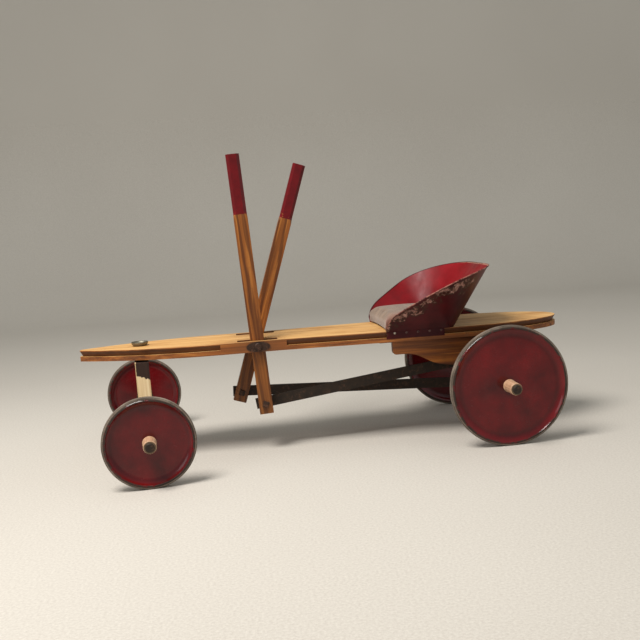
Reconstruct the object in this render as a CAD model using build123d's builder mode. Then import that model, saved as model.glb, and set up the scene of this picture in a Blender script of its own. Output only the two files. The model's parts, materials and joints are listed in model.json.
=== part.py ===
from build123d import *
import math
import os

# A child's lever-driven push cart: a plank deck on four disc wheels.
# Millimetres, +Z up, the nose at -X, the cart's left side at -Y.  The origin lies on the
# ground under the middle of the deck.

os.makedirs("parts", exist_ok=True)

# ---------------------------------------------------------------- driving sizes
deck_length = 1020.0
deck_thickness = 22.0
deck_top = 232.0
tip_half = 8.0             # half width of the blunt nose
nose_length = 280.0        # the pointed arch, from its tip to the parallel waist
waist_half = 88.0
waist_past_pivot = 54.5    # how far the parallel waist runs behind the lever pivot
taper_half = 113.0         # half width where the side taper ends
shoulder_length = 60.0     # from the end of the taper to the widest place
tail_half = 115.4
tail_length = 225.0        # the half-ellipse at the rear
edge_lip = 2.0             # plain edge above the groove
groove_height = 10.5
groove_depth = 6.0
groove_step = 0.6          # the flank starts this far in, under the lip
plain_ahead_of_pivot = 76.0
plain_behind_pivot = 58.0

front_wheel_radius = 85.0
rear_wheel_radius = 120.5
front_axle_from_nose = 120.0
rear_axle_from_tail = 177.6
front_track_half = 280.0   # to the outer face of the rim
rear_track_half = 232.0
front_rim_width = 18.0
rear_rim_width = 16.0
tyre_thickness = 4.0
tyre_width_share = 0.84    # the tyre is a little narrower than its rim
web_thickness = 3.0
flange_width = 14.5        # radial width of the curved flange round the web
rim_land = 3.0             # from the flange's lip to the seat of the tyre
rim_chamfer = 1.2
tyre_shoulder = 2.0        # radius of the tyre's outer edges
hub_radius = 13.0
hub_bevel = 1.0            # at the hub's inner end
hub_shoulder = 4.0         # the hub keeps its full width this far outside the web
hub_step = 0.8             # slimmer by this much beyond the shoulder
hub_taper = 0.2            # and by this much more at its end
hub_end_bevel = 1.5
hub_inner_reach = 11.0     # hub length inside the rim's inner face
front_hub_reach = 29.0     # hub length outside the rim's outer face
rear_hub_reach = 38.0
axle_radius = 6.5
axle_head_radius = 8.5
axle_head_height = 3.0
axle_head_chamfer = 1.5
washer_radius = 11.0
washer_thickness = 2.0
crank_collar_extra = 1.0   # the crank's collar is this much larger in radius

crank_throw = 45.0
crank_angle = 27.8         # of the left pin, from straight up towards the tail
crank_pin_radius = 6.0
web_plate_thickness = 5.0
web_plate_half_width = 9.0
rod_length = 500.0         # between the two holes
rod_height = 22.0
rod_thickness = 6.0
rod_front_overhang = 19.0
rod_eye_radius = 12.5

pivot_lead = 18.1          # the pivot lies this far behind the middle of the bolts' travel
lever_y = 62.0
lever_depth = 28.0         # along the cart
lever_width = 24.0         # across the cart
lever_upper = 387.0
lever_lower = 122.5        # pivot to bolt
lever_toe = 20.0           # past the bolt
grip_length = 115.0
grip_depth = 27.0
grip_width = 23.0
grip_chamfer = 5.8
lever_chamfer = 0.8
chamfer_stop = 13.0        # length of the sloping stop under each grip
lever_slot_length = 82.0
lever_slot_corner = 4.0
lever_side_gap = 1.5
pivot_rod_radius = 5.0
pivot_head_radius = 8.0
pivot_head_height = 3.6
pivot_head_chamfer = 1.6
pivot_thread_past = 7.5    # the rod's end stands this far past the far plate
pivot_nut_width = 14.0
pivot_nut_height = 5.5
pivot_nut_chamfer = 0.8
plate_half_length = 24.0
plate_half_height = 10.5
plate_thickness = 2.0
plate_screw_spread = 17.0
plate_screw = (1.4, 8.0, 3.0, 1.2)     # radius, length, head radius, head height
lever_bolt_radius = 4.0
lever_bolt_head = 12.0
lever_bolt_head_height = 4.0
lever_bolt_head_chamfer = 1.0
lever_bolt_turn = 20.0     # degrees the square head stands turned
lever_bolt_past = 8.0      # past the rod
rod_nut_radius = 7.5
rod_nut_height = 6.0

cheek_outer = 103.5
cheek_thickness = 16.0
cheek_front = 207.9        # from the axle to the front of the cheek
cheek_rear = 84.0
cheek_nose_height = 27.0
cheek_nose_radius = 7.0
cheek_nose_length = 25.0   # the nose's underside is level for this length
cheek_sweep_from_axle = 119.0
cheek_sweep_drop = 24.0    # the sweep has fallen this far below the nose there
cheek_sweep_end = (0.25, -1)
cheek_back_start = (0.1, 1)
cheek_back_end = (1, 0.15)
cheek_tail_height = 12.0
cheek_boss_radius = 24.0
bush_wall = 3.0
cleat_height = 18.0
cleat_width = 18.0
cleat_front = 165.0        # from the axle
cleat_rear = 66.0
cleat_screw = (2.0, 14.0, 4.0, 1.5)    # radius, bite in the deck, head radius, head height
cleat_screw_places = (-0.8, -0.25, 0.3)    # in shares of cleat_front

steer_rest = 5.35          # degrees the front truck is turned, anticlockwise from above
bolster_thickness = 27.0
bolster_half = 80.0
bolster_window_width = 26.0
bolster_window_height = 21.0
bolster_window_top = 48.0  # below the top of the bolster
rub_plate_radius = 22.0
rub_plate_thickness = 2.0
king_bolt_radius = 5.0
king_head_radius = 8.0
king_head_height = 5.0
king_head_round = 2.5
king_nut_radius = 8.5
king_nut_height = 7.0
king_thread_past = 3.0
king_cap_radius = 17.0
king_cap_height = 8.5
king_cap_wall = 1.5
king_cap_floor = 9.5       # radius of its flat floor
king_cap_lip = 1.0
king_cap_bend = (13.6, 4.2)    # a point half way up its inner face
strap_width = 16.0
strap_thickness = 2.0
strap_height = 46.0
strap_y = 58.0
strap_screw = (1.8, 12.0, 3.5, 1.6)    # radius, length, head radius, head height
strap_screw_drop = 10.0    # below the strap's end

seat_back_from_tail = 253.3
seat_depth = 144.4
seat_side_flare = 0.86     # outward run for each unit of height
seat_back_flare = 0.725
seat_corner_radius = 20.0
seat_corner_flare = 1.2
seat_height = 123.5
seat_front_post = 8.0      # height at which the rim leaves the front corners
rim_below_top = 1.0
# the rim's course, in shares of its run to the back and of its height there
rim_course = ((0.04, 0.225), (0.17, 0.42), (0.44, 0.715), (0.73, 0.91))
tin_run = 1.4              # wall of the sloping tin, measured level
tin_thickness = 1.0
seat_skirt = 15.0          # how far the tin hangs down over the deck's edge
seat_skirt_short = 24.0    # the skirt stops this far ahead of the seat's back
seat_foot = 14.0           # the foot turned in under the cushion
seat_foot_past_corner = 10.0
cushion_height = 33.0
cushion_nose = 6.0         # how far the cushion stands ahead of the tin
cushion_round = 11.0
cushion_lift = 0.6         # above the turned-in foot
nail_spacing = 24.0
nail_first = 17.5
nail_count = 5
nail_drop = 1.7            # below the lip
nail_lift = 0.25           # the head stands off the sloping tin by this much
nail_radius = 1.0
nail_head_radius = 2.6
nail_head_height = 1.0
nail_length = 15.0
tack_spacing = 36.0
tack_radius = 0.9
tack_head_radius = 2.2
tack_head_height = 0.3
tack_length = 11.0
skirt_clearance = 0.1

running = 0.05             # radial clearance of a running fit
face_gap = 0.5             # side clearance between linked bars
end_play = 0.2
soft_gap = 0.8
overcut = 5.0              # how far a cutting solid runs past what it cuts

# ---------------------------------------------------------------- places worked out
deck_front = -deck_length / 2
deck_rear = deck_length / 2
deck_bottom = deck_top - deck_thickness
rear_axle_x = deck_rear - rear_axle_from_tail
front_axle_x = deck_front + front_axle_from_nose
pivot_x = rear_axle_x - rod_length + pivot_lead
pivot_z = deck_bottom + deck_thickness / 2
nose_end_x = deck_front + nose_length
waist_end_x = pivot_x + waist_past_pivot
tail_centre_x = deck_rear - tail_length
taper_end_x = tail_centre_x - shoulder_length
taper_slope = (taper_half - waist_half) / (taper_end_x - waist_end_x)
nose_rise = waist_half - tip_half
nose_radius = (nose_length ** 2 + nose_rise ** 2) / (2 * nose_rise)
seat_back_x = deck_rear - seat_back_from_tail
seat_front_x = seat_back_x - seat_depth
cheek_inner = cheek_outer - cheek_thickness
bolster_top = deck_bottom - 2 * rub_plate_thickness - end_play
bolster_bottom = front_wheel_radius - axle_radius

SIDES = (("left", -1), ("right", 1))


def deck_half(x):
    """Half width of the deck on its tapered stretch."""
    return waist_half + (x - waist_end_x) * taper_slope


def write(piece, name):
    """Name a finished piece and store it."""
    piece.part.label = name
    export_step(piece.part, f"parts/{name}.step")


def across(x, z, y):
    """Plane facing +Y through a point."""
    return Plane(origin=(x, y, z), x_dir=(1, 0, 0), z_dir=(0, 1, 0))


def round_bar(plane, radius, length, mode=Mode.ADD):
    """Round bar or bore that grows from a plane along its normal."""
    with BuildSketch(plane) as end:
        Circle(radius)
    extrude(end.sketch, amount=length, mode=mode)


def screw(plane, sizes):
    """Screw whose head stands on a plane and whose shank runs back from it."""
    radius, length, head_radius, head_height = sizes
    round_bar(plane, head_radius, head_height)
    round_bar(plane, radius, -length)


def deck_plan(height, inset):
    """The deck's outline at a height, drawn in all round by an inset."""
    tip_x = deck_front + inset
    arc_radius = nose_radius - inset
    arc_centre_y = waist_half - nose_radius
    tip_y = arc_centre_y + math.sqrt(arc_radius ** 2 - (nose_end_x - tip_x) ** 2)
    with BuildSketch(Plane.XY.offset(height)) as plan:
        with BuildLine():
            tip = Line((tip_x, 0), (tip_x, tip_y))
            waist = Line((nose_end_x, waist_half - inset), (waist_end_x, waist_half - inset))
            TangentArc(waist @ 0, tip @ 1, tangent=(-1, 0))
            taper = Line(waist @ 1, (taper_end_x, taper_half - inset))
            shoulder = Line(taper @ 1, (tail_centre_x, tail_half - inset))
            EllipticalCenterArc(
                (tail_centre_x, 0),
                tail_length - inset,
                tail_half - inset,
                start_angle=0,
                arc_size=90,
            )
            mirror(about=Plane.XZ)
        make_face()
    return plan.sketch


# ---------------------------------------------------------------- linkage geometry
def crank_pin(side):
    """Centre of a crank pin in the cart's side view; the two pins are opposite."""
    turn = math.radians(crank_angle)
    return (
        rear_axle_x - side * crank_throw * math.sin(turn),
        rear_wheel_radius - side * crank_throw * math.cos(turn),
    )


def lever_lean(side):
    """Lean of a lever from upright, towards the tail, that lets the rod reach its bolt."""
    pin_x, pin_z = crank_pin(side)
    run = pin_x - pivot_x
    drop = pin_z - pivot_z
    reach = math.hypot(run, drop)
    bearing = math.atan2(drop, run)
    cosine = (lever_lower ** 2 + reach ** 2 - rod_length ** 2) / (2 * lever_lower * reach)
    bolt_bearing = bearing - math.acos(cosine)
    return -math.pi / 2 - bolt_bearing


def lever_point(side, distance):
    """Point on a lever's middle line, at a distance above the pivot, in side view."""
    lean = lever_lean(side)
    return pivot_x + distance * math.sin(lean), pivot_z + distance * math.cos(lean)


def rod_face(side):
    """The rod's face that looks back at its lever."""
    return side * lever_y + lever_width / 2 + face_gap


# ---------------------------------------------------------------- deck fasteners
# the seat's nails and tacks are driven through tin and wood with no holes cut for them
def nail_heads():
    """Planes under the heads of the seat nails, on both sides of the deck."""
    planes = []
    for side in (-1, 1):
        for index in range(nail_count):
            nail_x = seat_front_x + nail_first + index * nail_spacing
            nail_y = deck_half(nail_x) + skirt_clearance + tin_thickness + nail_lift
            nail_z = deck_top - edge_lip - nail_drop
            planes.append(Plane(origin=(nail_x, side * nail_y, nail_z), z_dir=(0, side, 0)))
    return planes


with BuildPart() as seat_nails:
    for head in nail_heads():
        round_bar(head, nail_head_radius, nail_head_height)
        round_bar(head, nail_radius, -nail_length)
write(seat_nails, "seat_nails")


def tack_heads():
    """Planes under the heads of the tacks that hold the seat's turned-in foot."""
    tack_x = seat_back_x - tin_run - seat_foot / 2
    tack_z = deck_top + tin_thickness
    return [Plane(origin=(tack_x, index * tack_spacing, tack_z)) for index in (-2, -1, 0, 1, 2)]


with BuildPart() as seat_foot_tacks:
    for tack in tack_heads():
        round_bar(tack, tack_head_radius, tack_head_height)
        round_bar(tack, tack_radius, -tack_length)
write(seat_foot_tacks, "seat_foot_tacks")

with BuildPart() as pivot_plate_screws:
    for side in (-1, 1):
        for step in (-1, 1):
            head = Plane(
                origin=(
                    pivot_x + step * plate_screw_spread,
                    side * (waist_half + plate_thickness),
                    pivot_z,
                ),
                z_dir=(0, side, 0),
            )
            screw(head, plate_screw)
write(pivot_plate_screws, "pivot_plate_screws")

cleat_shank, cleat_bite, cleat_head, cleat_head_height = cleat_screw
with BuildPart() as cleat_screws:
    for side in (-1, 1):
        for reach in cleat_screw_places:
            head = Plane(
                origin=(
                    rear_axle_x + reach * cleat_front,
                    side * (cheek_inner - cleat_width / 2),
                    deck_bottom - cleat_height,
                ),
                z_dir=(0, 0, -1),
            )
            screw(head, (cleat_shank, cleat_height + cleat_bite, cleat_head, cleat_head_height))
write(cleat_screws, "cleat_screws")

# ---------------------------------------------------------------- deck
groove_bottom = deck_top - edge_lip - groove_height
with BuildPart() as groove_core:
    core_plans = [
        deck_plan(groove_bottom, groove_depth),
        deck_plan(deck_top - edge_lip, groove_step),
    ]
    loft(core_plans, ruled=True)

with BuildPart() as edge_groove:
    extrude(deck_plan(groove_bottom, -overcut), amount=groove_height)
    add(groove_core.part, mode=Mode.SUBTRACT)
    plain_length = plain_ahead_of_pivot + plain_behind_pivot
    plain_x = pivot_x + (plain_behind_pivot - plain_ahead_of_pivot) / 2
    with BuildSketch(Plane(origin=(plain_x, 0, deck_bottom))):
        Rectangle(plain_length, 4 * tail_half)
    extrude(amount=deck_thickness, mode=Mode.SUBTRACT)

with BuildPart() as deck:
    extrude(deck_plan(deck_bottom, 0.0), amount=deck_thickness)
    add(edge_groove.part, mode=Mode.SUBTRACT)
    for side in (-1, 1):
        with BuildSketch(Plane(origin=(pivot_x, side * lever_y, deck_bottom))):
            RectangleRounded(
                lever_slot_length, lever_width + 2 * lever_side_gap, lever_slot_corner
            )
        extrude(amount=deck_thickness, mode=Mode.SUBTRACT)
    round_bar(
        across(pivot_x, pivot_z, -waist_half), pivot_rod_radius, 2 * waist_half, Mode.SUBTRACT
    )
    round_bar(
        Plane(origin=(front_axle_x, 0, deck_bottom)), king_bolt_radius, deck_thickness,
        Mode.SUBTRACT,
    )
    add(pivot_plate_screws.part, mode=Mode.SUBTRACT)
    add(cleat_screws.part, mode=Mode.SUBTRACT)
write(deck, "deck")

# ---------------------------------------------------------------- lever pivot
with BuildPart() as pivot_rod:
    rod_end = waist_half + plate_thickness
    round_bar(
        across(pivot_x, pivot_z, -rod_end), pivot_rod_radius, 2 * rod_end + pivot_thread_past
    )
    head = Plane(origin=(pivot_x, -rod_end, pivot_z), z_dir=(0, -1, 0))
    round_bar(head, pivot_head_radius, pivot_head_height)
    chamfer(pivot_rod.faces().sort_by(Axis.Y)[0].edges(), pivot_head_chamfer)
write(pivot_rod, "pivot_rod")

with BuildPart() as pivot_nut:
    with BuildSketch(across(pivot_x, pivot_z, waist_half + plate_thickness)):
        Rectangle(pivot_nut_width, pivot_nut_width)
        Circle(pivot_rod_radius, mode=Mode.SUBTRACT)
    extrude(amount=pivot_nut_height)
    chamfer(
        pivot_nut.faces().sort_by(Axis.Y)[-1].outer_wire().edges(), pivot_nut_chamfer
    )
write(pivot_nut, "pivot_nut")

for name, side in SIDES:
    with BuildPart() as pivot_plate:
        with BuildSketch(
            Plane(
                origin=(pivot_x, side * waist_half, pivot_z), x_dir=(1, 0, 0),
                z_dir=(0, side, 0),
            )
        ):
            Ellipse(plate_half_length, plate_half_height)
            Circle(pivot_rod_radius, mode=Mode.SUBTRACT)
        extrude(amount=plate_thickness)
        add(pivot_plate_screws.part, mode=Mode.SUBTRACT)
    write(pivot_plate, f"pivot_plate_{name}")


# ---------------------------------------------------------------- levers
def lever_section(side, distance, depth, width, corner):
    """Eight-sided section square across a lever, at a distance above the pivot."""
    lean = lever_lean(side)
    x, z = lever_point(side, distance)
    square = Plane(
        origin=(x, side * lever_y, z),
        x_dir=(math.cos(lean), 0, -math.sin(lean)),
        z_dir=(math.sin(lean), 0, math.cos(lean)),
    )
    with BuildSketch(square) as section:
        Rectangle(depth, width)
        chamfer(section.vertices(), corner)
    return section.sketch


for name, side in SIDES:
    bolt_x, bolt_z = lever_point(side, -lever_lower)
    lever_near = side * lever_y - lever_width / 2
    shaft_top = lever_upper - grip_length
    toe = lever_lower + lever_toe
    with BuildPart() as lever:
        shaft_end = lever_section(side, -toe, lever_depth, lever_width, lever_chamfer)
        extrude(shaft_end, amount=toe + shaft_top - chamfer_stop)
        stop_start = lever_section(
            side, shaft_top - chamfer_stop, lever_depth, lever_width, lever_chamfer
        )
        grip_start = lever_section(side, shaft_top, grip_depth, grip_width, grip_chamfer)
        loft([stop_start, grip_start], ruled=True)
        extrude(grip_start, amount=grip_length)
        round_bar(
            across(pivot_x, pivot_z, lever_near), pivot_rod_radius + running, lever_width,
            Mode.SUBTRACT,
        )
        round_bar(
            across(bolt_x, bolt_z, lever_near), lever_bolt_radius, lever_width, Mode.SUBTRACT
        )
    write(lever, f"lever_{name}")

    with BuildPart() as lever_bolt:
        round_bar(across(bolt_x, bolt_z, lever_near), lever_bolt_radius, lever_width)
        with BuildSketch(across(bolt_x, bolt_z, lever_near)):
            Rectangle(lever_bolt_head, lever_bolt_head, rotation=lever_bolt_turn)
        extrude(amount=-lever_bolt_head_height)
        chamfer(lever_bolt.faces().sort_by(Axis.Y)[0].edges(), lever_bolt_head_chamfer)
    write(lever_bolt, f"lever_bolt_{name}")

    # the flat rod from this lever to its crank pin
    pin_x, pin_z = crank_pin(side)
    rise = math.atan2(pin_z - bolt_z, pin_x - bolt_x)
    rod_side = Plane(
        origin=(bolt_x, rod_face(side), bolt_z),
        x_dir=(math.cos(rise), 0, math.sin(rise)),
        z_dir=(0, 1, 0),
    )
    with BuildPart() as rod:
        with BuildSketch(rod_side):
            with Locations(((rod_length - rod_front_overhang) / 2, 0)):
                Rectangle(rod_length + rod_front_overhang, rod_height)
            with Locations((rod_length, 0)):
                Circle(rod_eye_radius)
                Circle(crank_pin_radius + running, mode=Mode.SUBTRACT)
            Circle(lever_bolt_radius, mode=Mode.SUBTRACT)
        extrude(amount=rod_thickness)
    write(rod, f"rod_{name}")

    with BuildPart() as rod_nut:
        round_bar(
            across(bolt_x, bolt_z, rod_face(side)), lever_bolt_radius,
            rod_thickness + lever_bolt_past,
        )
        with BuildSketch(across(bolt_x, bolt_z, rod_face(side) + rod_thickness)):
            RegularPolygon(rod_nut_radius, 6)
        extrude(amount=rod_nut_height)
    write(rod_nut, f"rod_nut_{name}")

# ---------------------------------------------------------------- crank axle
rear_hub_end = rear_track_half + rear_hub_reach
rear_hub_start = rear_track_half - rear_rim_width - hub_inner_reach
rear_axle_end = rear_hub_end + end_play + washer_thickness
with BuildPart() as crank_axle:
    for side in (-1, 1):
        pin_x, pin_z = crank_pin(side)
        near_web = rod_face(side) - face_gap - web_plate_thickness
        far_web = rod_face(side) + rod_thickness + face_gap
        web_x = (pin_x + rear_axle_x) / 2
        web_z = (pin_z + rear_wheel_radius) / 2
        for web_y in (near_web, far_web):
            web_side = Plane(
                origin=(web_x, web_y, web_z),
                x_dir=(pin_x - rear_axle_x, 0, pin_z - rear_wheel_radius),
                z_dir=(0, 1, 0),
            )
            with BuildSketch(web_side):
                SlotCenterToCenter(crank_throw, 2 * web_plate_half_width)
            extrude(amount=web_plate_thickness)
        round_bar(
            across(pin_x, pin_z, near_web), crank_pin_radius,
            far_web + web_plate_thickness - near_web,
        )
    left_outer = rod_face(-1) - face_gap - web_plate_thickness
    left_inner = rod_face(-1) + rod_thickness + face_gap
    right_inner = rod_face(1) - face_gap - web_plate_thickness
    right_outer = rod_face(1) + rod_thickness + face_gap
    for start, stop in (
        (-rear_axle_end, left_outer + web_plate_thickness),
        (left_inner, right_inner + web_plate_thickness),
        (right_outer, rear_axle_end),
    ):
        round_bar(across(rear_axle_x, rear_wheel_radius, start), axle_radius, stop - start)
    for side in (-1, 1):
        head = Plane(
            origin=(rear_axle_x, side * rear_axle_end, rear_wheel_radius), z_dir=(0, side, 0)
        )
        round_bar(head, axle_head_radius, axle_head_height)
    for end in (0, -1):
        chamfer(crank_axle.faces().sort_by(Axis.Y)[end].edges(), axle_head_chamfer)
write(crank_axle, "crank_axle")


def washers(name, plane_at, places, radius):
    """A group of washers tight on an axle, each from its place outward along Y."""
    with BuildPart() as group:
        for start in places:
            with BuildSketch(plane_at(start)):
                Circle(radius)
                Circle(axle_radius, mode=Mode.SUBTRACT)
            extrude(amount=washer_thickness)
    write(group, name)


def rear_across(y):
    """Plane facing +Y across the rear axle."""
    return across(rear_axle_x, rear_wheel_radius, y)


washers("rear_axle_washers", rear_across, (-rear_axle_end, rear_hub_end + end_play),
        washer_radius)
washers("rear_axle_collars", rear_across,
        (-(rear_hub_start - end_play), rear_hub_start - end_play - washer_thickness),
        washer_radius)
washers("crank_collar", rear_across, (-(cheek_inner - end_play),),
        washer_radius + crank_collar_extra)

# ---------------------------------------------------------------- cheeks
boss_z = rear_wheel_radius
nose_z = deck_bottom - cheek_nose_height
for name, side in SIDES:
    face_y = side * cheek_inner if side > 0 else side * cheek_outer
    with BuildPart() as cheek:
        with BuildSketch(Plane(origin=(rear_axle_x, face_y, 0), x_dir=(1, 0, 0),
                               z_dir=(0, -1, 0))):
            with BuildLine():
                top = Line((cheek_rear, deck_bottom), (-cheek_front, deck_bottom))
                front = Line(top @ 1, (-cheek_front, nose_z + cheek_nose_radius))
                nose = TangentArc(
                    front @ 1, (-cheek_front + cheek_nose_radius, nose_z), tangent=(0, -1)
                )
                under = Line(nose @ 1, (-cheek_front + cheek_nose_length, nose_z))
                sweep_down = Spline(
                    under @ 1,
                    (-cheek_sweep_from_axle, nose_z - cheek_sweep_drop),
                    (-cheek_boss_radius, boss_z),
                    tangents=((1, 0), cheek_sweep_end),
                )
                boss = ThreePointArc(
                    sweep_down @ 1, (0, boss_z - cheek_boss_radius), (cheek_boss_radius, boss_z)
                )
                back = Spline(
                    boss @ 1,
                    (cheek_rear, deck_bottom - cheek_tail_height),
                    tangents=(cheek_back_start, cheek_back_end),
                )
                Line(back @ 1, top @ 0)
            make_face()
        extrude(amount=-cheek_thickness)
        round_bar(across(rear_axle_x, boss_z, face_y), axle_radius + running + bush_wall,
                  cheek_thickness, Mode.SUBTRACT)
    write(cheek, f"cheek_{name}")

    with BuildPart() as bush:
        with BuildSketch(rear_across(face_y)):
            Circle(axle_radius + running + bush_wall)
            Circle(axle_radius + running, mode=Mode.SUBTRACT)
        extrude(amount=cheek_thickness)
    write(bush, f"axle_bush_{name}")

    cleat_middle = (cleat_rear - cleat_front) / 2
    with BuildPart() as cleat:
        with BuildSketch(
            Plane(
                origin=(
                    rear_axle_x + cleat_middle,
                    side * (cheek_inner - cleat_width / 2),
                    deck_bottom,
                ),
                z_dir=(0, 0, -1),
            )
        ):
            Rectangle(cleat_front + cleat_rear, cleat_width)
        extrude(amount=cleat_height)
        add(cleat_screws.part, mode=Mode.SUBTRACT)
    write(cleat, f"cleat_{name}")

# ---------------------------------------------------------------- front truck
turn = math.radians(steer_rest)
truck_x_dir = Vector(math.cos(turn), math.sin(turn), 0)
truck_y_dir = Vector(-math.sin(turn), math.cos(turn), 0)
truck_centre = Vector(front_axle_x, 0, 0)
front_hub_end = front_track_half + front_hub_reach
front_hub_start = front_track_half - front_rim_width - hub_inner_reach
front_axle_end = front_hub_end + end_play + washer_thickness


def truck_across(y, z=front_wheel_radius, x=0.0):
    """Plane facing along the front axle, at a place in the truck's own axes."""
    origin = truck_centre + truck_x_dir * x + truck_y_dir * y + Vector(0, 0, z)
    return Plane(origin=origin, x_dir=truck_x_dir, z_dir=truck_y_dir)


def truck_level(z, y=0.0):
    """Level plane in the truck's own axes."""
    return Plane(origin=truck_centre + truck_y_dir * y + Vector(0, 0, z), x_dir=truck_x_dir,
                 z_dir=(0, 0, 1))


with BuildPart() as strap_screws:
    for side in (-1, 1):
        for facing in (-1, 1):
            origin = (
                truck_centre + truck_x_dir * facing * (bolster_thickness / 2 + strap_thickness)
                + truck_y_dir * side * strap_y
                + Vector(0, 0, bolster_bottom + strap_height - strap_screw_drop)
            )
            head = Plane(origin=origin, z_dir=truck_x_dir * facing)
            screw(head, strap_screw)
write(strap_screws, "strap_screws")

window_top_z = bolster_top - bolster_window_top
with BuildPart() as bolster:
    with BuildSketch(truck_level(bolster_bottom)):
        Rectangle(bolster_thickness, 2 * bolster_half)
    extrude(amount=bolster_top - bolster_bottom)
    round_bar(truck_across(-bolster_half), axle_radius, 2 * bolster_half, Mode.SUBTRACT)
    with BuildSketch(truck_level(bolster_bottom)):
        Rectangle(2 * axle_radius, 2 * bolster_half)
    extrude(amount=front_wheel_radius - bolster_bottom, mode=Mode.SUBTRACT)
    with BuildSketch(truck_level(window_top_z)):
        Rectangle(bolster_thickness, bolster_window_width)
    extrude(amount=-bolster_window_height, mode=Mode.SUBTRACT)
    round_bar(truck_level(window_top_z), king_bolt_radius + running,
              bolster_top - window_top_z, Mode.SUBTRACT)
    add(strap_screws.part, mode=Mode.SUBTRACT)
write(bolster, "bolster")

with BuildPart() as front_axle:
    round_bar(truck_across(-front_axle_end), axle_radius, 2 * front_axle_end)
    for side in (-1, 1):
        head = Plane(
            origin=truck_centre + truck_y_dir * side * front_axle_end
            + Vector(0, 0, front_wheel_radius),
            z_dir=truck_y_dir * side,
        )
        round_bar(head, axle_head_radius, axle_head_height)
    for end in (0, -1):
        chamfer(front_axle.faces().sort_by(Axis.Y)[end].edges(), axle_head_chamfer)
write(front_axle, "front_axle")

washers("front_axle_washers", truck_across, (-front_axle_end, front_hub_end + end_play),
        washer_radius)
washers("front_axle_collars", truck_across,
        (-(front_hub_start - end_play), front_hub_start - end_play - washer_thickness),
        washer_radius)

for name, side in SIDES:
    with BuildPart() as axle_strap:
        with BuildSketch(truck_across(side * strap_y - strap_width / 2, bolster_bottom)):
            with BuildLine():
                reach = bolster_thickness / 2
                Polyline(
                    (-reach - strap_thickness, -strap_height),
                    (-reach - strap_thickness, strap_thickness),
                    (reach + strap_thickness, strap_thickness),
                    (reach + strap_thickness, -strap_height),
                    (reach, -strap_height),
                    (reach, 0),
                    (-reach, 0),
                    (-reach, -strap_height),
                    close=True,
                )
            make_face()
        extrude(amount=strap_width)
        add(strap_screws.part, mode=Mode.SUBTRACT)
    write(axle_strap, f"axle_strap_{name}")

# ---------------------------------------------------------------- king bolt
with BuildPart() as upper_rub_plate:
    with BuildSketch(Plane(origin=(front_axle_x, 0, deck_bottom), z_dir=(0, 0, -1))):
        Circle(rub_plate_radius)
        Circle(king_bolt_radius, mode=Mode.SUBTRACT)
    extrude(amount=rub_plate_thickness)
write(upper_rub_plate, "upper_rub_plate")

with BuildPart() as lower_rub_plate:
    with BuildSketch(Plane(origin=(front_axle_x, 0, bolster_top))):
        Circle(rub_plate_radius)
        Circle(king_bolt_radius + running, mode=Mode.SUBTRACT)
    extrude(amount=rub_plate_thickness)
write(lower_rub_plate, "lower_rub_plate")

bolt_stop_z = window_top_z - end_play - washer_thickness - king_nut_height - king_thread_past
with BuildPart() as king_bolt:
    round_bar(Plane(origin=(front_axle_x, 0, bolt_stop_z)), king_bolt_radius,
              deck_top + king_cap_wall - bolt_stop_z)
    round_bar(Plane(origin=(front_axle_x, 0, deck_top + king_cap_wall)), king_head_radius,
              king_head_height)
    fillet(king_bolt.faces().sort_by(Axis.Z)[-1].edges(), king_head_round)
write(king_bolt, "king_bolt")

with BuildPart() as king_cap:
    with BuildSketch(Plane(origin=(front_axle_x, 0, deck_top), x_dir=(1, 0, 0),
                           z_dir=(0, -1, 0))):
        with BuildLine():
            base = Line((king_bolt_radius, 0), (king_cap_floor, 0))
            outside = TangentArc(base @ 1, (king_cap_radius, king_cap_height), tangent=(1, 0))
            lip = Line(outside @ 1, (king_cap_radius - king_cap_lip, king_cap_height))
            inside = ThreePointArc(lip @ 1, king_cap_bend, (king_cap_floor, king_cap_wall))
            floor = Line(inside @ 1, (king_bolt_radius, king_cap_wall))
            Line(floor @ 1, base @ 0)
        make_face()
    revolve(axis=Axis((front_axle_x, 0, deck_top), (0, 0, 1)))
write(king_cap, "king_cap")

with BuildPart() as king_washer:
    with BuildSketch(Plane(origin=(front_axle_x, 0, window_top_z - end_play),
                           z_dir=(0, 0, -1))):
        Circle(washer_radius)
        Circle(king_bolt_radius, mode=Mode.SUBTRACT)
    extrude(amount=washer_thickness)
write(king_washer, "king_washer")

with BuildPart() as king_nut:
    with BuildSketch(Plane(origin=(front_axle_x, 0, window_top_z - end_play - washer_thickness),
                           z_dir=(0, 0, -1))):
        RegularPolygon(king_nut_radius, 6)
        Circle(king_bolt_radius, mode=Mode.SUBTRACT)
    extrude(amount=king_nut_height)
write(king_nut, "king_nut")


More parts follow.
